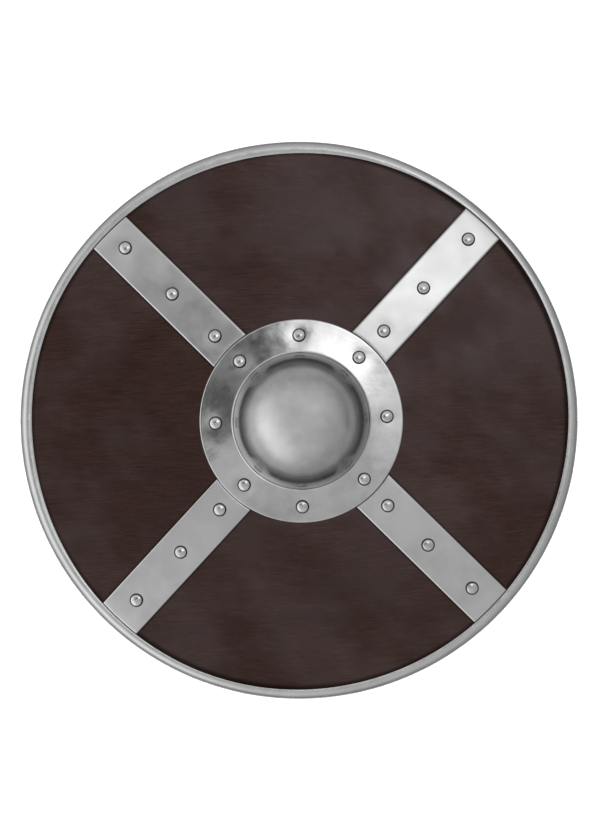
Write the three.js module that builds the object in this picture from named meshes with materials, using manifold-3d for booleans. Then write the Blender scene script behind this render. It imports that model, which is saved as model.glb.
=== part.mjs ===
// Round wooden shield: a dished board edged with rolled steel, a domed steel boss over the
// hand hole, four steel straps that run from the boss to the rim, a wooden hand grip across
// the hole, and the rivets that hold them together.
//
// Millimetres. +Z points out of the shield's face and +Y to its top. The shield lies face up
// on the rear of its rim, which touches z = 0 and is centred on the Z axis.

import * as THREE from "three";
import { mergeVertices } from "three/addons/utils/BufferGeometryUtils.js";
import Module from "manifold-3d";

const wasm = await Module();
wasm.setup();

// Whole shield
const SHIELD_RADIUS = 305;
const DISH_DEPTH = 22;
const FIT_GAP = 0.3;
const ROUND_STEPS = 48;

// Board
const BOARD_THICKNESS = 9;
const HAND_HOLE_RADIUS = 62;
const BOARD_RINGS = 5;
const EDGE_ARC_STEPS = 4;

// Rim: a channel of sheet rolled round the board's edge, its front lip fitted by hammer
const RIM_SHEET = 1.2;
const RIM_ROLL = 7.7;
const RIM_ARC_STEPS = 8;
const LIP_RADIUS = 293.8;
const LIP_WAVES = [
  { turns: 1, height: 1.0, phase: -17 },
  { turns: 2, height: 0.8, phase: 88 },
  { turns: 3, height: 0.9, phase: 82 },
  { turns: 4, height: 0.45, phase: -136 },
];
const REST_FLAT_RISE = 0.15;

// Boss: one sheet raised into a dome with a flange, which was riveted on a little off centre
const BOSS_CENTRE = { x: 2.4, y: -0.8 };
const BOSS_SHEET = 1.5;
const DOME_RADIUS = 74;
const DOME_HEIGHT = 63;
const DOME_FULLNESS = 2.2;
const DOME_ARC_STEPS = 8;
const DOME_FILLET = 2.8;
const FLANGE_RADIUS = 111;
const FLANGE_SPRING = 1.1;
const BOSS_STEPS = 36;

// Straps: flat bars bent to the dish, from the flange to the rim
const STRAP_WIDTH = 49.6;
const STRAP_SHEET = 1.5;
const STRAP_INNER_GAP = 0.7;
const STRAP_OUTER_GAP = 0.6;
const STRAP_LONG_STEPS = 5;
const STRAP_CROSS_STEPS = 4;
const STRAPS = [
  { name: "strap_upper_right", bearing: 47.4, rivetReach: [133, 197, 269.5] },
  { name: "strap_upper_left", bearing: 135.5, rivetReach: [132, 197.5, 269.5] },
  { name: "strap_lower_left", bearing: 227.4, rivetReach: [131.5, 194.5, 266] },
  { name: "strap_lower_right", bearing: 315.6, rivetReach: [132, 193.5, 261] },
];

// Rivets
const HEAD_RADIUS = 7.4;
const HEAD_HEIGHT = 3.6;
const SHANK_RADIUS = 2.5;
const TAIL_RADIUS = 4.6;
const TAIL_HEIGHT = 1.8;
const RIVET_SIDES = 8;
const DRILL_SIDES = 6; // the holes are hidden by the heads and tails
const DRILL_RADIUS = (SHANK_RADIUS + FIT_GAP) / Math.cos(Math.PI / DRILL_SIDES);
const DRILL_LENGTH = 60;
const BOSS_RIVET_REACH = 93.6;
const BOSS_RIVET_START = 2;
const BOSS_RIVET_SLIPS = [1, 0.75, -0.5, -1, -0.5, 1.25, -1.25, 0.25];
const TOP_RIVET = 2;
const BOTTOM_RIVET = 6;

// Hand grip: a shaped wooden bar behind the hole, held by the boss's top and bottom rivets
const GRIP_OVERHANG = 21;
const GRIP_END_WIDTH = 36;
const GRIP_WAIST_WIDTH = 29;
const GRIP_END_THICKNESS = 9;
const GRIP_WAIST_THICKNESS = 16;
const GRIP_STEPS = 12;
const GRIP_HOLD_SHARE = 2 / 3; // of its length, between the flat pads at its ends
const GRIP_ROUNDING = [
  { across: 0.5, depth: 0.5 },
  { across: 0.3, depth: 0.9 },
  { across: 0, depth: 1 },
  { across: -0.3, depth: 0.9 },
  { across: -0.5, depth: 0.5 },
];

const WOOD_COLOUR = 0x3e302c;
const STEEL_COLOUR = 0xa6a6a8;

const toRadians = THREE.MathUtils.degToRad;
const UP = new THREE.Vector3(0, 0, 1);

// ---- The dish: the board's front is part of a sphere that touches z = 0 at its crown ----

const DISH_RADIUS = (SHIELD_RADIUS ** 2 + DISH_DEPTH ** 2) / (2 * DISH_DEPTH);
const DISH_CENTRE = new THREE.Vector3(0, 0, -DISH_RADIUS);

function dishHeight(radius) {
  return Math.sqrt(DISH_RADIUS ** 2 - radius ** 2) - DISH_RADIUS;
}

function dishNormal(x, y) {
  return new THREE.Vector3(x, y, dishHeight(Math.hypot(x, y))).sub(DISH_CENTRE).normalize();
}

// The point that stands `lift` off the board's front, along its normal, over plan point x, y.
function onDish(x, y, lift) {
  return DISH_CENTRE.clone().addScaledVector(dishNormal(x, y), DISH_RADIUS + lift);
}

// The board's edge is rounded about this middle line, where the dish slopes by EDGE_SLOPE.
const EDGE_CENTRE_RADIUS = SHIELD_RADIUS - RIM_ROLL;
const EDGE_SLOPE = Math.asin(EDGE_CENTRE_RADIUS / (DISH_RADIUS - BOARD_THICKNESS / 2));
const EDGE_CENTRE_HEIGHT = (DISH_RADIUS - BOARD_THICKNESS / 2) * Math.cos(EDGE_SLOPE) - DISH_RADIUS;

// A point of a round section near the edge: `along` outwards down the slope, `out` to the front.
function edgePoint(along, out) {
  const radius = EDGE_CENTRE_RADIUS + along * Math.cos(EDGE_SLOPE) + out * Math.sin(EDGE_SLOPE);
  const height = EDGE_CENTRE_HEIGHT - along * Math.sin(EDGE_SLOPE) + out * Math.cos(EDGE_SLOPE);
  return [radius, height];
}

// Half an ellipse round the edge, from its back to its front.
function edgeArc(reach, halfDepth, steps) {
  const points = [];
  for (let step = 0; step <= steps; step += 1) {
    const turn = Math.PI * (step / steps - 0.5);
    points.push(edgePoint(reach * Math.cos(turn), halfDepth * Math.sin(turn)));
  }
  return points;
}

// ---- Closed meshes ----

// Joins matching sections into one closed ring round the Z axis.
function ring(sectionAt, steps) {
  const positions = [];
  const corners = [];
  const count = sectionAt(0).length;
  for (let step = 0; step < steps; step += 1) {
    const angle = (2 * Math.PI * step) / steps;
    for (const [radius, height] of sectionAt(angle)) {
      positions.push(radius * Math.cos(angle), radius * Math.sin(angle), height);
    }
    const here = step * count;
    const ahead = ((step + 1) % steps) * count;
    for (let point = 0; point < count; point += 1) {
      const next = (point + 1) % count;
      corners.push(here + point, ahead + point, ahead + next);
      corners.push(here + point, ahead + next, here + next);
    }
  }
  return meshData(positions, corners);
}

// Turns a profile that starts and ends on the Z axis.
function turned(profile, steps) {
  const points = profile.map(([radius, height]) => new THREE.Vector2(radius, height));
  return new THREE.LatheGeometry(points, steps).rotateX(Math.PI / 2);
}

// Joins matching sections, one after another. Each section is a lower row from left to right
// and as many points back above it, and the ends are closed between the two rows.
function loft(sections) {
  const corners = [];
  const count = sections[0].length;
  const last = (sections.length - 1) * count;
  for (let here = 0; here < last; here += count) {
    for (let point = 0; point < count; point += 1) {
      const next = (point + 1) % count;
      corners.push(here + point, here + count + point, here + count + next);
      corners.push(here + point, here + count + next, here + next);
    }
  }
  for (let point = 0; point < count / 2 - 1; point += 1) {
    const above = count - 1 - point;
    corners.push(point, point + 1, above - 1);
    corners.push(point, above - 1, above);
    corners.push(last + point, last + above - 1, last + point + 1);
    corners.push(last + point, last + above, last + above - 1);
  }
  return meshData(sections.flat().flatMap((point) => point.toArray()), corners);
}

function meshData(positions, corners) {
  const geometry = new THREE.BufferGeometry();
  geometry.setAttribute("position", new THREE.Float32BufferAttribute(positions, 3));
  geometry.setIndex(corners);
  geometry.computeVertexNormals();
  return geometry;
}

function toSolid(geometry) {
  const bare = geometry.clone();
  bare.deleteAttribute("normal");
  bare.deleteAttribute("uv");
  const joined = mergeVertices(bare);
  const mesh = new wasm.Mesh({
    numProp: 3,
    vertProperties: joined.attributes.position.array,
    triVerts: Uint32Array.from(withoutSlivers(joined.index.array)),
  });
  return new wasm.Manifold(mesh);
}

// Leaves out the triangles that a turned profile makes flat where it meets its axis.
function withoutSlivers(corners) {
  const kept = [];
  for (let first = 0; first < corners.length; first += 3) {
    const [a, b, c] = corners.slice(first, first + 3);
    if (a !== b && b !== c && c !== a) {
      kept.push(a, b, c);
    }
  }
  return kept;
}

// Drills a clearance hole for every rivet given.
function drilled(geometry, rivets) {
  const drill = new THREE.CylinderGeometry(DRILL_RADIUS, DRILL_RADIUS, DRILL_LENGTH, DRILL_SIDES);
  drill.rotateX(Math.PI / 2);
  let work = toSolid(geometry);
  for (const rivet of rivets) {
    const place = new THREE.Matrix4().compose(rivet.seat, rivet.turn, new THREE.Vector3(1, 1, 1));
    work = work.subtract(toSolid(drill.clone().applyMatrix4(place)));
  }
  const { vertProperties, triVerts } = work.getMesh();
  return meshData(Array.from(vertProperties), Array.from(triVerts));
}

// ---- Board ----

function boardSection() {
  const holeSlope = Math.asin(HAND_HOLE_RADIUS / DISH_RADIUS);
  const face = (lift) => {
    const points = [];
    for (let ringIndex = 0; ringIndex < BOARD_RINGS; ringIndex += 1) {
      const slope = THREE.MathUtils.lerp(holeSlope, EDGE_SLOPE, ringIndex / BOARD_RINGS);
      const reach = DISH_RADIUS + lift;
      points.push([reach * Math.sin(slope), reach * Math.cos(slope) - DISH_RADIUS]);
    }
    return points;
  };
  const edgeReach = RIM_ROLL - RIM_SHEET - FIT_GAP;
  const edge = edgeArc(edgeReach, BOARD_THICKNESS / 2, EDGE_ARC_STEPS);
  return [...face(-BOARD_THICKNESS), ...edge, ...face(0).reverse()];
}

// ---- Rim ----

function lipRadius(angle) {
  let radius = LIP_RADIUS;
  for (const wave of LIP_WAVES) {
    radius += wave.height * Math.cos(wave.turns * angle - toRadians(wave.phase));
  }
  return radius;
}

// The rear of the roll is dressed flat at this height, so that the shield lies without rocking.
const ROLL_HALF_DEPTH = BOARD_THICKNESS / 2 + FIT_GAP + RIM_SHEET;
const ROLL_DROP = Math.hypot(RIM_ROLL * Math.sin(EDGE_SLOPE), ROLL_HALF_DEPTH * Math.cos(EDGE_SLOPE));
const REST_HEIGHT = EDGE_CENTRE_HEIGHT - ROLL_DROP + REST_FLAT_RISE;

function rimSection(angle) {
  const frontLip = (lipRadius(angle) - EDGE_CENTRE_RADIUS) / Math.cos(EDGE_SLOPE);
  const rearLip = (LIP_RADIUS - EDGE_CENTRE_RADIUS) / Math.cos(EDGE_SLOPE);
  const innerHalfDepth = ROLL_HALF_DEPTH - RIM_SHEET;
  const outside = edgeArc(RIM_ROLL, ROLL_HALF_DEPTH, RIM_ARC_STEPS);
  const inside = edgeArc(RIM_ROLL - RIM_SHEET, innerHalfDepth, EDGE_ARC_STEPS).reverse();
  const section = [
    edgePoint(rearLip, -ROLL_HALF_DEPTH),
    ...outside,
    edgePoint(frontLip, ROLL_HALF_DEPTH),
    edgePoint(frontLip, innerHalfDepth),
    ...inside,
    edgePoint(rearLip, -innerHalfDepth),
  ];
  return section.map(([radius, height]) => [radius, Math.max(height, REST_HEIGHT)]);
}

// ---- Boss ----

// The flange springs up a little more than the board, from its edge to the foot of the dome.
const FLANGE_FOOT_RADIUS = DOME_RADIUS + DOME_FILLET;
const FLANGE_DROP = dishHeight(FLANGE_FOOT_RADIUS) - dishHeight(FLANGE_RADIUS) + FLANGE_SPRING;
const FLANGE_SLOPE = Math.atan(FLANGE_DROP / (FLANGE_RADIUS - FLANGE_FOOT_RADIUS));
const BOSS_HEIGHT =
  dishHeight(FLANGE_RADIUS) + FIT_GAP + BOSS_SHEET * Math.cos(FLANGE_SLOPE) + FLANGE_DROP;

// One face of the sheet, from the dome's crown out to the flange's edge.
function bossFace(inset) {
  const points = [];
  for (let step = 0; step <= DOME_ARC_STEPS; step += 1) {
    const turn = (Math.PI / 2) * (1 - step / DOME_ARC_STEPS);
    const radius = (DOME_RADIUS - inset) * Math.cos(turn) ** (2 / DOME_FULLNESS);
    const rise = (DOME_HEIGHT - DOME_FILLET - inset) * Math.sin(turn) ** (2 / DOME_FULLNESS);
    points.push([step === 0 ? 0 : radius, DOME_FILLET + rise]);
  }
  const fillet = DOME_FILLET + inset;
  const middle = Math.PI / 4;
  points.push([
    FLANGE_FOOT_RADIUS - fillet * Math.cos(middle),
    DOME_FILLET - fillet * Math.sin(middle),
  ]);
  const lean = inset * Math.sin(FLANGE_SLOPE);
  const sink = inset * Math.cos(FLANGE_SLOPE);
  points.push([FLANGE_FOOT_RADIUS - lean, -sink]);
  points.push([FLANGE_RADIUS - lean, -FLANGE_DROP - sink]);
  return points;
}

function bossProfile() {
  return [...bossFace(BOSS_SHEET), ...bossFace(0).reverse()];
}

// ---- Straps ----

function strapPlan(bearing) {
  const angle = toRadians(bearing);
  return {
    along: new THREE.Vector2(Math.cos(angle), Math.sin(angle)),
    across: new THREE.Vector2(-Math.sin(angle), Math.cos(angle)),
  };
}

// The plan point `reach` along a strap from the boss's centre, and `offset` off its middle.
function strapPoint({ along, across }, reach, offset) {
  return new THREE.Vector2(BOSS_CENTRE.x, BOSS_CENTRE.y)
    .addScaledVector(along, reach)
    .addScaledVector(across, offset);
}

// A strap's end follows the rim's lip.
function strapOuterReach(plan, offset) {
  const start = strapPoint(plan, 0, offset);
  const ahead = start.dot(plan.along);
  const limit = lipRadius(strapPoint(plan, LIP_RADIUS, offset).angle()) - STRAP_OUTER_GAP;
  return Math.sqrt(ahead ** 2 - start.lengthSq() + limit ** 2) - ahead;
}

function strapGeometry(plan) {
  const sections = [];
  for (let step = 0; step <= STRAP_LONG_STEPS; step += 1) {
    const lower = [];
    const upper = [];
    for (let cross = 0; cross <= STRAP_CROSS_STEPS; cross += 1) {
      const offset = STRAP_WIDTH * (0.5 - cross / STRAP_CROSS_STEPS);
      const inner = Math.sqrt((FLANGE_RADIUS + STRAP_INNER_GAP) ** 2 - offset ** 2);
      const outer = strapOuterReach(plan, offset);
      const reach = THREE.MathUtils.lerp(inner, outer, step / STRAP_LONG_STEPS);
      const { x, y } = strapPoint(plan, reach, offset);
      lower.push(onDish(x, y, FIT_GAP));
      upper.push(onDish(x, y, FIT_GAP + STRAP_SHEET));
    }
    sections.push([...lower, ...upper.reverse()]);
  }
  return loft(sections);
}

// ---- Rivets: each has a domed head, a shank through its clearance holes and a beaten tail ----

function placedRivet(name, seat, normal, depth) {
  return { name, seat, turn: new THREE.Quaternion().setFromUnitVectors(UP, normal), depth };
}

function strapRivets(strap) {
  const plan = strapPlan(strap.bearing);
  return strap.rivetReach.map((reach, index) => {
    const { x, y } = strapPoint(plan, reach, 0);
    const seat = onDish(x, y, FIT_GAP + STRAP_SHEET);
    const depth = STRAP_SHEET + FIT_GAP + BOARD_THICKNESS;
    return placedRivet(`${strap.name}_rivet_${index + 1}`, seat, dishNormal(x, y), depth);
  });
}

function bossRivets() {
  return BOSS_RIVET_SLIPS.map((slip, index) => {
    const angle = toRadians(BOSS_RIVET_START + slip + (360 * index) / BOSS_RIVET_SLIPS.length);
    const out = new THREE.Vector2(Math.cos(angle), Math.sin(angle));
    const plan = new THREE.Vector2(BOSS_CENTRE.x, BOSS_CENTRE.y).addScaledVector(out, BOSS_RIVET_REACH);
    const height = BOSS_HEIGHT - (BOSS_RIVET_REACH - FLANGE_FOOT_RADIUS) * Math.tan(FLANGE_SLOPE);
    const seat = new THREE.Vector3(plan.x, plan.y, height);
    const lean = out.multiplyScalar(Math.sin(FLANGE_SLOPE));
    const normal = new THREE.Vector3(lean.x, lean.y, Math.cos(FLANGE_SLOPE));
    const boardDepth = seat.distanceTo(DISH_CENTRE) - DISH_RADIUS + BOARD_THICKNESS;
    const gripDepth = index === TOP_RIVET || index === BOTTOM_RIVET ? FIT_GAP + GRIP_END_THICKNESS : 0;
    return placedRivet(`boss_rivet_${index + 1}`, seat, normal, boardDepth + gripDepth);
  });
}

function rivetProfile(depth) {
  const tailSeat = -depth - FIT_GAP;
  const curve = (HEAD_RADIUS ** 2 + HEAD_HEIGHT ** 2) / (2 * HEAD_HEIGHT);
  const domeHeight = (radius) => FIT_GAP + HEAD_HEIGHT - curve + Math.sqrt(curve ** 2 - radius ** 2);
  const shoulder = HEAD_RADIUS * 0.62;
  return [
    [0, tailSeat - TAIL_HEIGHT],
    [TAIL_RADIUS * 0.75, tailSeat - TAIL_HEIGHT * 0.75],
    [TAIL_RADIUS, tailSeat],
    [SHANK_RADIUS, tailSeat],
    [SHANK_RADIUS, FIT_GAP],
    [HEAD_RADIUS, FIT_GAP],
    [shoulder, domeHeight(shoulder)],
    [0, FIT_GAP + HEAD_HEIGHT],
  ];
}

// ---- Hand grip ----

function gripGeometry(bottomRivet, topRivet) {
  const start = new THREE.Vector2(bottomRivet.seat.x, bottomRivet.seat.y);
  const end = new THREE.Vector2(topRivet.seat.x, topRivet.seat.y);
  const along = end.clone().sub(start).normalize();
  const across = new THREE.Vector2(-along.y, along.x);
  const middle = start.clone().lerp(end, 0.5);
  const halfLength = start.distanceTo(end) / 2 + GRIP_OVERHANG;
  const sections = [];
  for (let step = 0; step <= GRIP_STEPS; step += 1) {
    const travel = (2 * step) / GRIP_STEPS - 1;
    const waist = Math.cos((Math.PI / 2) * Math.min(Math.abs(travel) / GRIP_HOLD_SHARE, 1)) ** 2;
    const width = THREE.MathUtils.lerp(GRIP_END_WIDTH, GRIP_WAIST_WIDTH, waist);
    const thickness = THREE.MathUtils.lerp(GRIP_END_THICKNESS, GRIP_WAIST_THICKNESS, waist);
    const back = -BOARD_THICKNESS - FIT_GAP;
    const row = (depthOf) =>
      GRIP_ROUNDING.map((place) => {
        const plan = middle.clone().addScaledVector(along, travel * halfLength);
        plan.addScaledVector(across, place.across * width);
        return onDish(plan.x, plan.y, back - thickness * depthOf(place));
      });
    sections.push([...row((place) => place.depth), ...row(() => 0).reverse()]);
  }
  return loft(sections);
}

// ---- The shield ----

const wood = () => new THREE.MeshStandardMaterial({ color: WOOD_COLOUR, roughness: 0.6, metalness: 0 });
const steel = () => new THREE.MeshStandardMaterial({ color: STEEL_COLOUR, roughness: 0.35, metalness: 1 });

const shield = new THREE.Group();

function addPiece(name, geometry, material) {
  const piece = new THREE.Mesh(geometry, material);
  piece.name = name;
  shield.add(piece);
  return piece;
}

const bossRivetPlaces = bossRivets();
const strapRivetPlaces = STRAPS.map(strapRivets);
const gripRivets = [bossRivetPlaces[BOTTOM_RIVET], bossRivetPlaces[TOP_RIVET]];
const allRivets = [...bossRivetPlaces, ...strapRivetPlaces.flat()];

addPiece("board", drilled(ring(boardSection, ROUND_STEPS), allRivets), wood());
addPiece("rim", ring(rimSection, ROUND_STEPS), steel());

const bossPlace = new THREE.Matrix4().makeTranslation(BOSS_CENTRE.x, BOSS_CENTRE.y, BOSS_HEIGHT);
const bossForm = turned(bossProfile(), BOSS_STEPS).applyMatrix4(bossPlace);
addPiece("boss", drilled(bossForm, bossRivetPlaces), steel());

STRAPS.forEach((strap, index) => {
  const form = strapGeometry(strapPlan(strap.bearing));
  addPiece(strap.name, drilled(form, strapRivetPlaces[index]), steel());
});

addPiece("hand_grip", drilled(gripGeometry(...gripRivets), gripRivets), wood());

for (const rivet of allRivets) {
  const piece = addPiece(rivet.name, turned(rivetProfile(rivet.depth), RIVET_SIDES), steel());
  piece.position.copy(rivet.seat);
  piece.quaternion.copy(rivet.turn);
}

shield.position.z = -REST_HEIGHT;

export default shield;
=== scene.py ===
"""Looks of the round wooden shield: every finish, and the smooth pieces that carry them."""

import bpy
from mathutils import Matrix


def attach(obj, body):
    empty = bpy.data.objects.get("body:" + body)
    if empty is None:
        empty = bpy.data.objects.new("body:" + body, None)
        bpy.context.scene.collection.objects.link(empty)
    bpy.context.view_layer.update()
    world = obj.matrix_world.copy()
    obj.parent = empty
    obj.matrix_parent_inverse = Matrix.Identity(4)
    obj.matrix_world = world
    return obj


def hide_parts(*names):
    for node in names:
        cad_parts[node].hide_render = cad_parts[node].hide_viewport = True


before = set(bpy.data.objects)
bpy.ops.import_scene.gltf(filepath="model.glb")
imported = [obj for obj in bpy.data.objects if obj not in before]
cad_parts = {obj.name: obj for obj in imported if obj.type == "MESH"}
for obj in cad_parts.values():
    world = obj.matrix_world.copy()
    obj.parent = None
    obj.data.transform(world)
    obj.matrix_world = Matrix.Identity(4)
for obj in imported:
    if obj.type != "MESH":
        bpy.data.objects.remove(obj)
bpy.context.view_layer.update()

import logging
import math
from dataclasses import dataclass, field
from enum import Enum
from typing import Sequence

import bmesh
import bpy
import numpy as np
from mathutils import Vector, noise

LOG = logging.getLogger("round_shield")
MM = 0.001
BODY = "root"
LAY = "lay"
STRAP_BEARINGS = (47.4, 135.5, 227.4, 315.6)

Pair = tuple[float, float]
Triple = tuple[float, float, float]
Socket = bpy.types.NodeSocket
Sockets = bpy.types.bpy_prop_collection
Node = bpy.types.Node
Tree = bpy.types.NodeTree
Material = bpy.types.Material
Piece = bpy.types.Object


class Slot(Enum):
    """The record's material slots."""

    BOARD_WOOD = "board_wood"
    GRIP_WOOD = "grip_wood"
    RIM_STEEL = "rim_steel"
    BOSS_STEEL = "boss_steel"
    STRAP_STEEL = "strap_steel"
    RIVET_STEEL = "rivet_steel"


# Node wiring


@dataclass
class Wiring:
    """Adds nodes to a tree and links them in one call each."""

    tree: Tree

    def add(self, kind: str, settings: dict | None = None, **inputs: object) -> Node:
        """Adds one node.

        Args:
            kind: The node's type name.
            settings: Properties of the node itself, such as its operation.
            **inputs: Values or sockets for its inputs, named in lower case with underscores;
                a name such as in0 picks the input by its place.

        Returns:
            The new node.
        """
        node = self.tree.nodes.new(kind)
        for name, value in (settings or {}).items():
            setattr(node, name, value)
        for name, value in inputs.items():
            self.feed(self.find(node, name), value)
        return node

    def find(self, node: Node, name: str) -> Socket:
        """Finds an input by its place (in0) or its name (base_color).

        Args:
            node: The node whose input is wanted.
            name: The input's place or name.

        Returns:
            The input socket.
        """
        if name.startswith("in") and name[2:].isdigit():
            return node.inputs[int(name[2:])]
        wanted = name.replace("_", " ")
        for socket in node.inputs:
            if socket.name.lower() == wanted and socket.enabled:
                return socket
        raise KeyError(f"{node.bl_idname} has no input {name}")

    def feed(self, socket: Socket, value: object) -> None:
        """Links a socket into an input, or sets the input's value.

        Args:
            socket: The input.
            value: An output socket to link, or a value to set.
        """
        if isinstance(value, Socket):
            self.tree.links.new(value, socket)
        else:
            socket.default_value = value

    def math(self, operation: str, *values: object) -> Socket:
        """Adds a Math node.

        Args:
            operation: The operation's name.
            *values: Its one to three inputs.

        Returns:
            The node's output.
        """
        inputs = {f"in{place}": value for place, value in enumerate(values)}
        return self.add("ShaderNodeMath", {"operation": operation}, **inputs).outputs[0]

    def ramp(self, factor: Socket, stops: Sequence[tuple[float, Triple]]) -> Socket:
        """Adds a Color Ramp node.

        Args:
            factor: The value that it maps.
            stops: Its stops, each a place from 0 to 1 and a colour.

        Returns:
            The colour output.
        """
        node = self.add("ShaderNodeValToRGB", in0=factor)
        elements = node.color_ramp.elements
        while len(elements) < len(stops):
            elements.new(1.0)
        for element, (place, colour) in zip(elements, stops):
            element.position = place
            element.color = (*colour, 1.0)
        return node.outputs["Color"]

    def span(self, value: Socket, low: float, high: float, to_low: float, to_high: float) -> Socket:
        """Maps a value from one range to another, clamped.

        Args:
            value: The value.
            low: Where the range starts.
            high: Where the range ends.
            to_low: The result at its start.
            to_high: The result at its end.

        Returns:
            The mapped value.
        """
        node = self.add("ShaderNodeMapRange", {"clamp": True}, in0=value, in1=low, in2=high,
                        in3=to_low, in4=to_high)
        return node.outputs[0]

    def noise(self, vector: Socket, scale: float, detail: float = 2.0, rough: float = 0.5) -> Socket:
        """Adds a Noise Texture.

        Args:
            vector: Its coordinates.
            scale: Its scale.
            detail: Its number of finer octaves.
            rough: How strong the finer octaves are.

        Returns:
            The value output.
        """
        node = self.add("ShaderNodeTexNoise", vector=vector, scale=scale, detail=detail, roughness=rough)
        return node.outputs[0]

    def streaky(self, vector: Socket, scale: Triple, detail: float, rough: float = 0.5,
                turn: float = 0.0) -> Socket:
        """Adds a Noise Texture on coordinates that are turned about Z and then scaled.

        Args:
            vector: The coordinates.
            scale: The scale on each axis.
            detail: Its number of finer octaves.
            rough: How strong the finer octaves are.
            turn: The turn in radians.

        Returns:
            The value output.
        """
        turned = self.add("ShaderNodeVectorRotate", {"rotation_type": "Z_AXIS"}, vector=vector, angle=turn)
        scaled = self.add("ShaderNodeVectorMath", {"operation": "MULTIPLY"}, in0=turned.outputs[0], in1=scale)
        return self.noise(scaled.outputs[0], 1.0, detail, rough)

    def store(self, geometry: Socket, name: str, kind: str, value: Socket) -> Socket:
        """Stores a value on every point of a geometry.

        Args:
            geometry: The geometry.
            name: The attribute's name.
            kind: Its type of data.
            value: The value.

        Returns:
            The geometry with the attribute.
        """
        return self.add("GeometryNodeStoreNamedAttribute", {"data_type": kind, "domain": "POINT"},
                        geometry=geometry, name=name, value=value).outputs[0]

    def stored(self, name: str, kind: str = "FLOAT") -> Socket:
        """Returns a stored attribute of the given name and type of data."""
        return self.add("GeometryNodeInputNamedAttribute", {"data_type": kind}, name=name).outputs[0]

    def place(self) -> Socket:
        """Returns the place of a geometry's points."""
        return self.add("GeometryNodeInputPosition").outputs[0]


# Finishes


def new_material(name: str) -> tuple[Material, Wiring, Node]:
    """Makes a material with one Principled shader.

    Args:
        name: The material's name.

    Returns:
        The material, the wiring of its tree, and the shader.
    """
    material = bpy.data.materials.new(name)
    material.use_nodes = True
    wiring = Wiring(material.node_tree)
    shader = material.node_tree.nodes["Principled BSDF"]
    return material, wiring, shader


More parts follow.
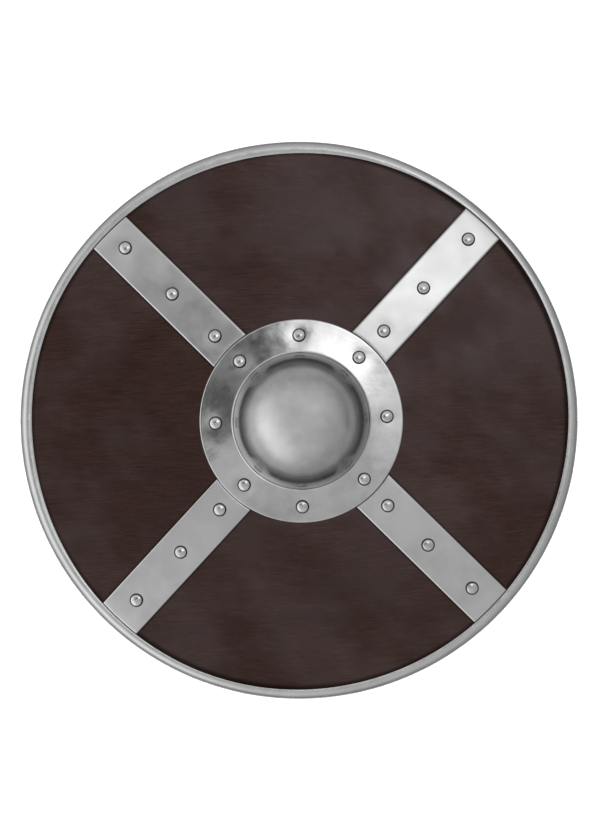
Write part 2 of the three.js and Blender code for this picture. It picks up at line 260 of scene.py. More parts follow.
@dataclass(frozen=True)
class WoodFinish:
    """Dark stained wood with fine straight grain under thin hazy wax, sizes in metres."""

    name: str
    dark: Triple
    middle: Triple
    light: Triple
    roughness: Pair
    specular: float = 0.5
    grain_turn: float = math.radians(-3.0)
    grain_bend: float = 0.05
    streak_scale: Triple = (48.0, 520.0, 30.0)
    band_scale: Triple = (3.5, 34.0, 8.0)
    pore_scale: Triple = (60.0, 1500.0, 60.0)
    pore_depth: float = 0.00004
    cloud_scale: Triple = (8.0, 11.0, 5.0)
    cloud_turn: float = math.radians(20.0)
    haze_scale: Triple = (9.0, 14.0, 9.0)
    haze_turn: float = math.radians(35.0)
    least_wax: float = 0.55
    wax_tint: Triple = (0.96, 0.92, 1.0)
    # Painted shade: the radii in metres over which the wood darkens near the rim, the straps it darkens
    # beside, and how dark it gets.
    rim_shade_band: Pair | None = None
    strap_bearings: tuple[float, ...] = ()
    strap_centre: Pair = (0.0024, -0.0008)
    strap_shade_band: Pair = (0.0246, 0.0275)
    edge_shade_tone: float = 0.3

    def build(self) -> Material:
        """Builds the material.

        Returns:
            The wood material.
        """
        material, wiring, shader = new_material(self.name)
        place = wiring.add("ShaderNodeTexCoord").outputs["Object"]
        bend = wiring.math("SUBTRACT", wiring.noise(place, 3.2, 1.0), 0.5)
        drift = wiring.math("MULTIPLY", bend, self.grain_bend)
        shift = wiring.add("ShaderNodeCombineXYZ", in1=drift).outputs[0]
        bent = wiring.add("ShaderNodeVectorMath", {"operation": "ADD"}, in0=place, in1=shift).outputs[0]
        streaks = wiring.streaky(bent, self.streak_scale, 4.0, 0.7, self.grain_turn)
        bands = wiring.streaky(bent, self.band_scale, 4.0, 0.6, self.grain_turn)
        pores = wiring.streaky(bent, self.pore_scale, 2.0, 0.6, self.grain_turn)
        clouds = wiring.streaky(place, self.cloud_scale, 4.0, 0.6, self.cloud_turn)
        haze = wiring.streaky(place, self.haze_scale, 3.0, 0.55, self.haze_turn)
        # Painted shade near the rim and beside the straps, which darkens the wood's colour and dims its
        # sheen.
        unshaded = self.unshaded(wiring, place)

        tone = wiring.math("MULTIPLY_ADD", streaks, 0.5, wiring.math("MULTIPLY", bands, 0.22))
        tone = wiring.math("MULTIPLY_ADD", clouds, 0.28, tone)
        colour = wiring.ramp(tone, [(0.32, self.dark), (0.5, self.middle), (0.7, self.light)])
        bright = wiring.math("MULTIPLY", wiring.span(pores, 0.36, 0.48, 0.72, 1.0), unshaded)
        deepened = wiring.add("ShaderNodeVectorMath", {"operation": "SCALE"}, in0=colour, scale=bright)
        wiring.feed(shader.inputs["Base Color"], deepened.outputs[0])

        # The haze varies the wax's sheen, and the painted shade dims it near the rim and straps.
        wax_and_shade = wiring.math("MULTIPLY", unshaded, wiring.span(haze, 0.42, 0.6, self.least_wax, 1.0))
        sheen = wiring.ramp(wax_and_shade, [(0.0, (0.0, 0.0, 0.0)), (1.0, self.wax_tint)])
        wiring.feed(shader.inputs["Specular Tint"], sheen)
        shader.inputs["Specular IOR Level"].default_value = self.specular
        wear = wiring.math("MULTIPLY", wiring.noise(place, 14.0, 4.0, 0.6), 0.6)
        rough = wiring.span(wiring.math("MULTIPLY_ADD", streaks, 0.4, wear), 0.38, 0.62, *self.roughness)
        wiring.feed(shader.inputs["Roughness"], rough)
        relief = wiring.math("MULTIPLY_ADD", pores, 0.6, wiring.math("MULTIPLY", streaks, 0.4))
        bump = wiring.add("ShaderNodeBump", strength=0.35, distance=self.pore_depth, height=relief)
        wiring.feed(shader.inputs["Normal"], bump.outputs[0])
        return material

    def unshaded(self, wiring: Wiring, place: Socket) -> Socket | float:
        """Works out the painted shade along the rim and beside the straps, where shade falls.

        Args:
            wiring: The wiring of the material's tree.
            place: The place on the wood.

        Returns:
            One where the wood is unshaded, and less where shade is painted in.
        """
        unshaded: Socket | float = 1.0
        spot = wiring.add("ShaderNodeSeparateXYZ", in0=place)
        x, y = spot.outputs[0], spot.outputs[1]
        # Painted shade in a band just inside the rim.
        if self.rim_shade_band:
            square = wiring.math("MULTIPLY_ADD", x, x, wiring.math("MULTIPLY", y, y))
            unshaded = wiring.span(wiring.math("SQRT", square), *self.rim_shade_band, 1.0, self.edge_shade_tone)
        # Painted shade in a band beside each strap, along its length.
        for bearing in self.strap_bearings:
            turn = math.radians(bearing)
            travel = []
            for way in ((math.cos(turn), math.sin(turn)), (-math.sin(turn), math.cos(turn))):
                start = way[0] * self.strap_centre[0] + way[1] * self.strap_centre[1]
                up = wiring.math("MULTIPLY_ADD", y, way[1], -start)
                travel.append(wiring.math("MULTIPLY_ADD", x, way[0], up))
            along, across = travel
            beside = wiring.span(wiring.math("ABSOLUTE", across), *self.strap_shade_band, self.edge_shade_tone, 1.0)
            behind = wiring.math("LESS_THAN", along, 0.0)
            unshaded = wiring.math("MINIMUM", unshaded, wiring.math("MAXIMUM", beside, behind))
        return unshaded


@dataclass(frozen=True)
class SteelFinish:
    """Polished sheet steel, with rubbing marks that follow the piece's lay, sizes in metres."""

    name: str
    roughness: Pair
    colour: Triple = (0.45, 0.45, 0.453)
    mark_scale: Pair = (30.0, 1800.0)
    mark_depth: float = 0.000004
    cloud_scale: float = 38.0
    cloud_depth: float = 0.00003
    stain: float = 0.12
    dull: tuple[Pair, ...] = ()
    dull_length: float = 0.2
    # Painted shade and painted dark reflection: a ring at a rivet head's edge, over these radii in metres,
    # and how dark it gets.
    grime_ring: Pair | None = None
    ring_shade_tone: float = 0.07

    def build(self) -> Material:
        """Builds the material.

        Returns:
            The steel material.
        """
        material, wiring, shader = new_material(self.name)
        lay = wiring.add("ShaderNodeAttribute", {"attribute_name": LAY}).outputs["Vector"]
        place = wiring.add("ShaderNodeTexCoord").outputs["Object"]
        along, across = self.mark_scale
        marks = wiring.streaky(lay, (along, along, across), 3.0, 0.65)
        coarse = wiring.streaky(lay, (along * 0.4, along * 0.4, across * 0.12), 2.0)
        clouds = wiring.noise(place, self.cloud_scale, 3.0, 0.55)
        broad = wiring.noise(place, self.cloud_scale * 0.3, 2.0, 0.5)

        rough_mix = wiring.math("MULTIPLY_ADD", marks, 0.3, wiring.math("MULTIPLY", clouds, 0.7))
        rough = wiring.span(rough_mix, 0.35, 0.65, *self.roughness)
        if self.dull:
            travel = wiring.add("ShaderNodeSeparateXYZ", in0=lay).outputs[2]
            share = wiring.math("DIVIDE", travel, self.dull_length)
            stops = [(reach / self.dull_length, (more,) * 3) for reach, more in self.dull]
            rough = wiring.math("ADD", rough, wiring.ramp(share, stops))
        wiring.feed(shader.inputs["Roughness"], rough)
        stained = tuple(channel * (1.0 - self.stain) for channel in self.colour)
        tint = wiring.math("MULTIPLY_ADD", clouds, 0.5, wiring.math("MULTIPLY", broad, 0.5))
        colour = wiring.ramp(tint, [(0.36, stained), (0.6, self.colour)])
        # Painted shade and painted dark reflection: the head's outer edge is darkened to a ring.
        if self.grime_ring:
            flat = wiring.add("ShaderNodeVectorMath", {"operation": "MULTIPLY"}, in0=lay, in1=(1.0, 1.0, 0.0))
            reach = wiring.add("ShaderNodeVectorMath", {"operation": "LENGTH"}, in0=flat.outputs[0])
            unshaded = wiring.span(reach.outputs["Value"], *self.grime_ring, 1.0, self.ring_shade_tone)
            dimmed = wiring.add("ShaderNodeVectorMath", {"operation": "SCALE"}, in0=colour, scale=unshaded)
            colour = dimmed.outputs[0]
        wiring.feed(shader.inputs["Base Color"], colour)
        shader.inputs["Metallic"].default_value = 1.0

        bump = None
        reliefs = ((self.cloud_depth, wiring.math("ADD", clouds, broad)),
                   (self.mark_depth * 3.0, coarse), (self.mark_depth, marks))
        for depth, relief in reliefs:
            below = {"normal": bump.outputs[0]} if bump else {}
            bump = wiring.add("ShaderNodeBump", strength=1.0, distance=depth, height=relief, **below)
        wiring.feed(shader.inputs["Normal"], bump.outputs[0])
        return material


# The board carries painted shade along the rim and beside the straps.
BOARD_WOOD = WoodFinish(
    "board_wood", (0.0060, 0.0019, 0.0008), (0.0118, 0.0041, 0.0018), (0.0205, 0.0090, 0.0070), (0.2, 0.32),
    specular=0.36, rim_shade_band=(0.2885, 0.2925), strap_bearings=STRAP_BEARINGS)
GRIP_WOOD = WoodFinish(
    "grip_wood", (0.016, 0.0075, 0.0055), (0.028, 0.014, 0.0105), (0.042, 0.0225, 0.017), (0.32, 0.46),
    grain_turn=math.radians(89.0))
RIM_STEEL = SteelFinish("rim_steel", (0.2, 0.3))
BOSS_STEEL = SteelFinish("boss_steel", (0.1, 0.16), cloud_scale=55.0, cloud_depth=0.00009, stain=0.2,
                         dull=((0.012, 0.3), (0.058, 0.1), (0.098, 0.1), (0.114, 0.0)))
STRAP_STEEL = SteelFinish("strap_steel", (0.18, 0.26), mark_depth=0.000003, cloud_depth=0.000035)
# Rivet heads carry a painted shade ring at their edge.
RIVET_STEEL = SteelFinish("rivet_steel", (0.08, 0.14), cloud_scale=300.0, cloud_depth=0.00002,
                          grime_ring=(0.0055, 0.0062))


# Meshes


def grid_faces(rows: int, columns: int, close_rows: bool = True) -> np.ndarray:
    """Lists the quads between rows of points, each row a closed ring.

    Args:
        rows: How many rows of points there are.
        columns: How many points there are in each row.
        close_rows: Whether the last row joins the first.

    Returns:
        An array of quads, each of four point numbers.
    """
    row = np.arange(rows if close_rows else rows - 1)[:, None]
    column = np.arange(columns)[None, :]
    row_on = (row + 1) % rows
    column_on = (column + 1) % columns
    quads = np.stack(np.broadcast_arrays(row * columns + column, row_on * columns + column,
                                         row_on * columns + column_on, row * columns + column_on), axis=-1)
    return quads.reshape(-1, 4)


def loft_faces(rows: int, columns: int) -> list[tuple[int, ...]]:
    """Lists the faces of matching closed sections with flat ends.

    Args:
        rows: How many sections there are.
        columns: How many points there are in each.

    Returns:
        The faces.
    """
    faces = [tuple(face) for face in grid_faces(rows, columns, False)]
    first = tuple(range(columns))
    last = tuple((rows - 1) * columns + column for column in range(columns))
    return faces + [first, last[::-1]]


def merge_doubles(piece: Piece) -> None:
    """Closes a piece where points fall together, such as at a pole.

    Args:
        piece: The piece.
    """
    form = bmesh.new()
    form.from_mesh(piece.data)
    bmesh.ops.remove_doubles(form, verts=form.verts, dist=0.000002)
    bmesh.ops.dissolve_degenerate(form, edges=form.edges, dist=0.000001)
    bmesh.ops.recalc_face_normals(form, faces=form.faces)
    form.to_mesh(piece.data)
    form.free()


def make_object(name: str, points: np.ndarray, faces: Sequence[Sequence[int]],
                lay: np.ndarray | None = None, crease: float = 35.0) -> Piece:
    """Makes a smooth-shaded mesh object from points in millimetres.

    Args:
        name: The object's name.
        points: The points, in millimetres.
        faces: The faces, each a list of point numbers.
        lay: For each point, where it lies along and across the metal's polishing marks.
        crease: The angle in degrees above which an edge stays sharp.

    Returns:
        The object, linked into the scene.
    """
    mesh = bpy.data.meshes.new(name)
    mesh.from_pydata((points * MM).tolist(), [], [list(face) for face in faces])
    mesh.polygons.foreach_set("use_smooth", [True] * len(mesh.polygons))
    if lay is not None:
        store = mesh.attributes.new(LAY, "FLOAT_VECTOR", "POINT")
        store.data.foreach_set("vector", (lay * MM).astype(np.float32).ravel())
    mesh.update()
    mesh.set_sharp_from_angle(angle=math.radians(crease))
    piece = bpy.data.objects.new(name, mesh)
    bpy.context.scene.collection.objects.link(piece)
    return piece


def dress(piece: Piece, material: Material, nodes: Sequence[str]) -> None:
    """Gives a piece its finish, hangs it on the body, and hides the solids that it stands for.

    Args:
        piece: The piece.
        material: Its finish.
        nodes: The solids that it stands for.
    """
    piece.data.materials.clear()
    piece.data.materials.append(material)
    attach(piece, BODY)
    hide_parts(*nodes)
    LOG.info("%s: %d faces", piece.name, len(piece.data.polygons))


def solid_points(node: str) -> np.ndarray:
    """Reads the distinct points of a solid.

    Args:
        node: The solid's name.

    Returns:
        Its points in millimetres.
    """
    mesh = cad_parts[node].data
    points = np.zeros(len(mesh.vertices) * 3, dtype=np.float32)
    mesh.vertices.foreach_get("co", points)
    return np.unique(np.round(points.reshape(-1, 3) / MM, 3), axis=0)


def ellipse_arc(reach: float, depth: float, start: float, end: float, steps: int) -> list[Pair]:
    """Lists points on an ellipse.

    Args:
        reach: Its half width.
        depth: Its half height.
        start: The angle of the first point, in degrees.
        end: The angle of the last point, in degrees.
        steps: How many steps to take.

    Returns:
        The points, each its width and height.
    """
    angles = np.radians(np.linspace(start, end, steps + 1))
    return [(reach * math.cos(angle), depth * math.sin(angle)) for angle in angles]


def ripple(place: np.ndarray, size: float, seed: float) -> float:
    """Gives a smooth value about zero that wanders from place to place.

    Args:
        place: The place, in millimetres.
        size: How far apart its swells are, in millimetres.
        seed: Which pattern to take.

    Returns:
        A value from about -1 to 1.
    """
    return noise.noise(Vector(place) / size + Vector((seed, seed * 0.7, -seed)))


# The dish, which the board, rim and straps follow


@dataclass(frozen=True)
class Dish:
    """The board's front as part of a sphere, in millimetres."""

    shield_radius: float
    depth: float
    crown: float

    @property
    def sphere(self) -> float:
        """Returns the sphere's radius."""
        return (self.shield_radius**2 + self.depth**2) / (2.0 * self.depth)

    def drop(self, radius: float | np.ndarray) -> float | np.ndarray:
        """Returns how far the front lies below the crown at a radius, as a negative height."""
        return np.sqrt(self.sphere**2 - radius**2) - self.sphere

    def normal(self, x: float, y: float) -> np.ndarray:
        """Returns the front's outward normal over a plan point."""
        out = np.array((x, y, self.sphere + self.drop(math.hypot(x, y))))
        return out / np.linalg.norm(out)

    def point(self, x: float, y: float, lift: float) -> np.ndarray:
        """Gives the point that stands off the front along its normal.

        Args:
            x: The plan place to the right.
            y: The plan place upwards.
            lift: How far it stands off.

        Returns:
            The point.
        """
        centre = np.array((0.0, 0.0, self.crown - self.sphere))
        return centre + self.normal(x, y) * (self.sphere + lift)


def set_round(sections: Sequence[np.ndarray], radius: float) -> tuple[np.ndarray, np.ndarray]:
    """Sets sections round the Z axis at even angles, with a lay of marks that run round.

    Args:
        sections: For each angle in turn, its points, each a radius and a height.
        radius: The radius at which distances round the lay are true.

    Returns:
        The points of all sections in turn, and for each its place round the ring and its
        distance along the section.
    """
    points, lay = [], []
    for part, angle in zip(sections, np.linspace(0.0, 2.0 * math.pi, len(sections), endpoint=False)):
        way = np.array((math.cos(angle), math.sin(angle)))
        steps = np.linalg.norm(np.diff(part, axis=0), axis=1)
        travel = np.concatenate(([0.0], np.cumsum(steps)))
        points.append(np.column_stack((part[:, :1] * way, part[:, 1])))
        lay.append(np.column_stack((np.tile(radius * way, (len(part), 1)), travel)))
    return np.concatenate(points), np.concatenate(lay)


@dataclass(frozen=True)
class Edge:
    """The rounded edge that the board and the rim share, in millimetres."""

    dish: Dish
    board_thickness: float = 9.0
    roll: float = 7.7
    fit_gap: float = 0.3
    sheet: float = 1.2

    @property
    def radius(self) -> float:
        """Returns the radius of the edge's middle line."""
        return self.dish.shield_radius - self.roll

    @property
    def slope(self) -> float:
        """Returns the dish's slope at the edge, in radians."""
        return math.asin(self.radius / (self.dish.sphere - self.board_thickness / 2.0))

    @property
    def height(self) -> float:
        """Returns the height of the edge's middle line."""
        middle = self.dish.sphere - self.board_thickness / 2.0
        return self.dish.crown + middle * math.cos(self.slope) - self.dish.sphere

    @property
    def half_depth(self) -> float:
        """Returns half the rolled rim's thickness."""
        return self.board_thickness / 2.0 + self.fit_gap + self.sheet

    def place(self, along: float, out: float) -> Pair:
        """Gives a point near the edge.

        Args:
            along: How far it is outwards, down the dish's slope.
            out: How far it is to the front, square to the slope.

        Returns:
            Its radius and height.
        """
        radius = self.radius + along * math.cos(self.slope) + out * math.sin(self.slope)
        height = self.height - along * math.sin(self.slope) + out * math.cos(self.slope)
        return radius, height


# Rivets


@dataclass(frozen=True)
class RivetPlace:
    """Where one rivet sits, read from its solid."""

    seat: np.ndarray
    axis: np.ndarray
    length: float


@dataclass
class RivetMaker:
    """Turns round-headed rivets and sets them on points with a node tree, sizes in millimetres."""

    head_radius: float = 7.4
    head_height: float = 3.6
    head_lip: float = 0.5
    crown_edge: float = 22.0
    crown_power: float = 1.4
    corner_share: float = 0.68
    cap_steps: int = 6
    shank_radius: float = 2.5
    tail_radius: float = 4.6
    tail_height: float = 1.8
    tail_lip: float = 0.4
    solid_gap: float = 0.3
    sink: float = 0.45
    dent_depth: float = 0.2
    dent_scale: float = 260.0
    tilt: float = 2.0
    size_spread: float = 0.02
    sides: int = 48
    seed: int = 11
    tree: Tree | None = field(default=None, init=False)

    def read(self, node: str) -> RivetPlace:
        """Reads a rivet's seat and axis from its solid.

        Args:
            node: The solid's name.

        Returns:
            The rivet's place.
        """
        points = solid_points(node)
        crown = points[points[:, 2].argmax()]
        axis = crown - points.mean(axis=0)
        axis /= np.linalg.norm(axis)
        travel = (points - crown) @ axis
        seat = crown - axis * (self.head_height + self.solid_gap)
        return RivetPlace(seat, axis, -travel.min() - self.head_height - self.tail_height)

    def cap(self, radius: float, height: float, lip: float) -> list[Pair]:
        """Draws a rounded cap from its crown, over its lip and in to the shank.

        Args:
            radius: The cap's radius.
            height: Its height.
            lip: The height of its upright lip.

        Returns:
            The points, each a radius and a height above the cap's underside.
        """
        edge = math.radians(self.crown_edge)
        corner = (height - lip) * self.corner_share
        flat = radius - corner * (1.0 - math.sin(edge))
        points, drop = [(0.0, height)], 0.0
        shares = [step / self.cap_steps for step in range(self.cap_steps + 1)]
        for near, far in zip(shares, shares[1:]):
            drop += flat * (far - near) * math.tan(edge * ((near + far) / 2.0) ** self.crown_power)
            points.append((flat * far, height - drop))
        middle = height - drop - corner * math.cos(edge)
        for share in shares[1:]:
            turn = edge + (0.5 * math.pi - edge) * share
            points.append((radius - corner + corner * math.sin(turn), middle + corner * math.cos(turn)))
        return points + [(radius, 0.15 * lip), (radius - 0.3 * lip, 0.0), (self.shank_radius, 0.0)]

    def inputs(self) -> dict[str, float | int]:
        """Returns the values of the tree's inputs by name."""
        return {"Head Radius": self.head_radius, "Head Height": self.head_height,
                "Tail Height": self.tail_height, "Dent Depth": self.dent_depth, "Tilt": self.tilt,
                "Size Spread": self.size_spread, "Sides": self.sides, "Seed": self.seed}

    def build_tree(self) -> Tree:
        """Builds the node tree that turns one rivet and sets a copy on every point.

        Returns:
            The tree.
        """
        tree = bpy.data.node_groups.new("rivets", "GeometryNodeTree")
        face = tree.interface
        face.new_socket("Geometry", in_out="OUTPUT", socket_type="NodeSocketGeometry")
        face.new_socket("Points", in_out="INPUT", socket_type="NodeSocketGeometry")
        for name, value in self.inputs().items():
            kind = "NodeSocketInt" if isinstance(value, int) else "NodeSocketFloat"
            face.new_socket(name, in_out="INPUT", socket_type=kind).default_value = value
        face.new_socket("Finish", in_out="INPUT", socket_type="NodeSocketMaterial")
        wiring = Wiring(tree)
        given = wiring.add("NodeGroupInput").outputs
        copies = self.set_copies(wiring, given, self.turn_one(wiring, given))
        drawn = self.draw_out(wiring, given, copies)
        finished = wiring.add("GeometryNodeSetMaterial", geometry=drawn, material=given["Finish"])
        wiring.add("NodeGroupOutput", in0=finished.outputs[0])
        return tree

    def turn_one(self, wiring: Wiring, given: Sockets) -> Socket:
        """Turns one short upright rivet by rolling up a flat grid.

        Args:
            wiring: The tree's wiring.
            given: The tree's inputs.

        Returns:
            The rivet, with its head's underside at zero.
        """
        head = self.cap(self.head_radius, self.head_height, self.head_lip)
        tail = self.cap(self.tail_radius, self.tail_height, self.tail_lip)
        outline = head + [(self.shank_radius, 0.0)] + [(reach, -rise) for reach, rise in reversed(tail)]
        grid = wiring.add("GeometryNodeMeshGrid", size_x=1.0, size_y=1.0, vertices_y=len(outline),
                          vertices_x=wiring.math("ADD", given["Sides"], 1.0))
        spot = wiring.add("ShaderNodeSeparateXYZ", in0=wiring.place())
        turn = wiring.math("MULTIPLY", wiring.math("ADD", spot.outputs[0], 0.5), 2.0 * math.pi)
        travel = wiring.math("ADD", spot.outputs[1], 0.5)
        reach = self.look_up(wiring, travel, [point[0] / self.head_radius for point in outline])
        span = self.head_height + self.tail_height
        rise = self.look_up(wiring, travel, [(point[1] + self.tail_height) / span for point in outline])
        whole = wiring.math("ADD", given["Head Height"], given["Tail Height"])
        radius = wiring.math("MULTIPLY", wiring.math("MULTIPLY", reach, given["Head Radius"]), MM)
        height = wiring.math("MULTIPLY_ADD", rise, whole, wiring.math("MULTIPLY", given["Tail Height"], -1.0))
        turned = wiring.add("ShaderNodeCombineXYZ",
                            in0=wiring.math("MULTIPLY", radius, wiring.math("COSINE", turn)),
                            in1=wiring.math("MULTIPLY", radius, wiring.math("SINE", turn)),
                            in2=wiring.math("MULTIPLY", height, MM)).outputs[0]
        marked = wiring.store(grid.outputs["Mesh"], "tail", "FLOAT", wiring.math("GREATER_THAN", travel, 0.5))
        rolled = wiring.add("GeometryNodeSetPosition", geometry=marked, position=turned).outputs[0]
        joined = wiring.add("GeometryNodeMergeByDistance", geometry=rolled, distance=0.000005).outputs[0]
        return wiring.store(joined, LAY, "FLOAT_VECTOR", wiring.place())

    def set_copies(self, wiring: Wiring, given: Sockets, rivet: Socket) -> Socket:
        """Sets a rivet on every point, along its axis, each a little different in lean and size.

        Args:
            wiring: The tree's wiring.
            given: The tree's inputs.
            rivet: The rivet.

        Returns:
            The real copies.
        """
        axis = wiring.stored("axis", "FLOAT_VECTOR")
        upright = wiring.add("FunctionNodeAlignRotationToVector", {"axis": "Z"}, vector=axis).outputs[0]
        lean = wiring.math("RADIANS", given["Tilt"])
        less = wiring.math("MULTIPLY", lean, -1.0)
        low = wiring.add("ShaderNodeCombineXYZ", in0=less, in1=less, in2=0.0).outputs[0]
        high = wiring.add("ShaderNodeCombineXYZ", in0=lean, in1=lean, in2=2.0 * math.pi).outputs[0]
        any_turn = wiring.add("FunctionNodeRandomValue", {"data_type": "FLOAT_VECTOR"}, in0=low, in1=high,
                              seed=given["Seed"]).outputs[0]
        spin = wiring.add("FunctionNodeEulerToRotation", in0=any_turn).outputs[0]
        facing = wiring.add("FunctionNodeRotateRotation", {"rotation_space": "LOCAL"},
                            in0=upright, in1=spin).outputs[0]
        size = wiring.add("FunctionNodeRandomValue", {"data_type": "FLOAT"},
                          in2=wiring.math("SUBTRACT", 1.0, given["Size Spread"]),
                          in3=wiring.math("ADD", 1.0, given["Size Spread"]), seed=given["Seed"]).outputs[1]
        copies = wiring.add("GeometryNodeInstanceOnPoints", points=given["Points"], instance=rivet,
                            rotation=facing, scale=size).outputs[0]
        return wiring.add("GeometryNodeRealizeInstances", geometry=copies).outputs[0]

    def draw_out(self, wiring: Wiring, given: Sockets, copies: Socket) -> Socket:
        """Dents the rivets a little and draws their tails out to their own lengths.

        Args:
            wiring: The tree's wiring.
            given: The tree's inputs.
            copies: The rivets.

        Returns:
            The rivets at their full lengths.
        """
        dents = wiring.math("SUBTRACT", wiring.noise(wiring.place(), self.dent_scale, 2.0), 0.5)
        dent = wiring.math("MULTIPLY", wiring.math("MULTIPLY", dents, MM), given["Dent Depth"])
        pull = wiring.math("MULTIPLY", wiring.stored("length"), wiring.stored("tail"))
        push = wiring.math("SUBTRACT", dent, pull)
        moved = wiring.add("ShaderNodeVectorMath", {"operation": "SCALE"},
                           in0=wiring.stored("axis", "FLOAT_VECTOR"), scale=push).outputs[0]
        return wiring.add("GeometryNodeSetPosition", geometry=copies, offset=moved).outputs[0]

    def look_up(self, wiring: Wiring, travel: Socket, values: list[float]) -> Socket:
        """Looks up evenly spaced values with a Float Curve.

        Args:
            wiring: The tree's wiring.
            travel: How far along the values to look, from 0 to 1.
            values: The values, from 0 to 1.

        Returns:
            The value found.
        """
        node = wiring.add("ShaderNodeFloatCurve", value=travel)
        points = node.mapping.curves[0].points
        while len(points) < len(values):
            points.new(0.5, 0.5)
        for place, value in enumerate(values):
            points[place].location = (place / (len(values) - 1), value)
            points[place].handle_type = "VECTOR"
        node.mapping.update()
        return node.outputs[0]

    def build(self, name: str, nodes: Sequence[str], finish: Material) -> None:
        """Builds and dresses one mesh with a rivet on the seat of each named solid.

        Args:
            name: The piece's name.
            nodes: The rivets' solids.
            finish: The rivets' finish.
        """
        if self.tree is None:
            self.tree = self.build_tree()
        places = [self.read(node) for node in nodes]
        mesh = bpy.data.meshes.new(name + "_seats")
        mesh.from_pydata([((place.seat - place.axis * self.sink) * MM).tolist() for place in places], [], [])
        axes = np.array([place.axis for place in places]).ravel()
        mesh.attributes.new("axis", "FLOAT_VECTOR", "POINT").data.foreach_set("vector", axes)
        lengths = [(place.length - self.sink) * MM for place in places]
        mesh.attributes.new("length", "FLOAT", "POINT").data.foreach_set("value", lengths)
        seats = bpy.data.objects.new(name + "_seats", mesh)
        bpy.context.scene.collection.objects.link(seats)
        maker = seats.modifiers.new("rivets", "NODES")
        maker.node_group = self.tree
        values = {**self.inputs(), "Finish": finish}
        for socket in self.tree.interface.items_tree:
            if socket.name in values:
                maker[socket.identifier] = values[socket.name]
        evaluated = seats.evaluated_get(bpy.context.evaluated_depsgraph_get())
        plain = bpy.data.meshes.new_from_object(evaluated)
        plain.name = name
        seats.modifiers.remove(maker)
        bpy.data.objects.remove(seats)
        for spare in ("axis", "length", "tail"):
            if spare in plain.attributes:
                plain.attributes.remove(plain.attributes[spare])
        plain.polygons.foreach_set("use_smooth", [True] * len(plain.polygons))
        plain.set_sharp_from_angle(angle=math.radians(50.0))
        piece = bpy.data.objects.new(name, plain)
        bpy.context.scene.collection.objects.link(piece)
        dress(piece, finish, nodes)


# Sub-assemblies, all sizes in millimetres


@dataclass
class Board:
    """The dished board with its rounded edge and the hand hole behind the boss."""

    edge: Edge
    hole_radius: float = 62.0
    rings: int = 26
    steps: int = 240
    edge_steps: int = 10

    def section(self) -> np.ndarray:
        """Draws the board's section, from the hole's rear edge out to its front edge."""
        dish = self.edge.dish
        turns = np.linspace(math.asin(self.hole_radius / dish.sphere), self.edge.slope, self.rings + 1)[:-1]
        inner = dish.sphere - self.edge.board_thickness
        front, back = ([(radius * math.sin(turn), dish.crown + radius * math.cos(turn) - dish.sphere)
                        for turn in turns] for radius in (dish.sphere, inner))
        reach = self.edge.roll - self.edge.sheet - self.edge.fit_gap
        rounded = [self.edge.place(along, out) for along, out in
                   ellipse_arc(reach, self.edge.board_thickness / 2.0, -90.0, 90.0, self.edge_steps)]
        return np.array(back + rounded + front[::-1])

    def build(self, finish: Material) -> None:
        """Builds and dresses the board.

        Args:
            finish: Its wood.
        """
        section = self.section()
        points, _ = set_round([section] * self.steps, self.edge.radius)
        piece = make_object("shield_board", points, grid_faces(self.steps, len(section)), crease=40.0)
        dress(piece, finish, ["board"])


@dataclass
class Rim:
    """The steel strip rolled over the board's edge."""

    edge: Edge
    rest_height: float = 0.0
    reach_trim: float = 0.085
    lip_radius: float = 293.1
    lip_waves: tuple[tuple[int, float, float], ...] = (
        (1, 1.0, -17.0), (2, 0.8, 88.0), (3, 0.9, 82.0), (4, 0.45, -136.0))
    steps: int = 720
    arc_steps: int = 30
    lip_curl: float = 0.036
    lip_shares: tuple[float, ...] = (0.12, 0.25, 0.4, 0.55, 0.7, 0.83, 0.93)
    beat_size: float = 17.0
    beat_depth: float = 0.12

    def lip(self, angle: float) -> float:
        """Returns the front lip's radius at an angle."""
        return self.lip_radius + sum(height * math.cos(turns * angle - math.radians(phase))
                                     for turns, height, phase in self.lip_waves)

    def section(self, angle: float) -> np.ndarray:
        """Draws the strip's section at an angle, from its rear lip round its outside and back inside.

        Args:
            angle: The angle round the shield.

        Returns:
            The section's points.
        """
        edge = self.edge
        front = (self.lip(angle) - edge.radius) / math.cos(edge.slope)
        rear = (self.lip_radius - edge.radius) / math.cos(edge.slope)
        reach = edge.roll - self.reach_trim
        outer, inner = edge.half_depth, edge.half_depth - edge.sheet
        outside = [(rear, -outer + 0.25), (rear + 0.25, -outer)]
        outside += ellipse_arc(reach, outer, -90.0, 90.0, self.arc_steps)
        outside += [(along, outer - self.lip_curl * along**2) for along in front * np.array(self.lip_shares)]
        tip = outer - self.lip_curl * front**2
        lip = [(front + 0.1, tip - 0.02), (front + 0.02, tip - 0.1), (front, tip - 0.2), (front, inner)]
        inside = ellipse_arc(reach - edge.sheet, inner, 90.0, -90.0, 10)
        rear_lip = [(rear, -inner)]
        points = []
        for index, (along, out) in enumerate(outside + lip + inside + rear_lip):
            radius, height = edge.place(along, out)
            if index < len(outside) + 3:
                spot = np.array((radius * math.cos(angle), radius * math.sin(angle), height))
                beat = ripple(spot, self.beat_size, 3.1) + 0.6 * ripple(spot, self.beat_size * 0.4, 7.7)
                push = self.beat_depth * min(beat - 0.5, 0.0)
                turn = math.atan2(out / outer, max(along, 0.0) / reach)
                radius += push * math.cos(turn)
                height += push * math.sin(turn)
            points.append((radius, max(height, self.rest_height)))
        return np.array(points)

    def build(self, finish: Material) -> None:
        """Builds and dresses the rim.

        Args:
            finish: Its steel.
        """
        angles = np.linspace(0.0, 2.0 * math.pi, self.steps, endpoint=False)
        sections = [self.section(angle) for angle in angles]
        points, lay = set_round(sections, self.edge.dish.shield_radius)
        piece = make_object("shield_rim", points, grid_faces(self.steps, len(sections[0])), lay, 60.0)
        dress(piece, finish, ["rim"])


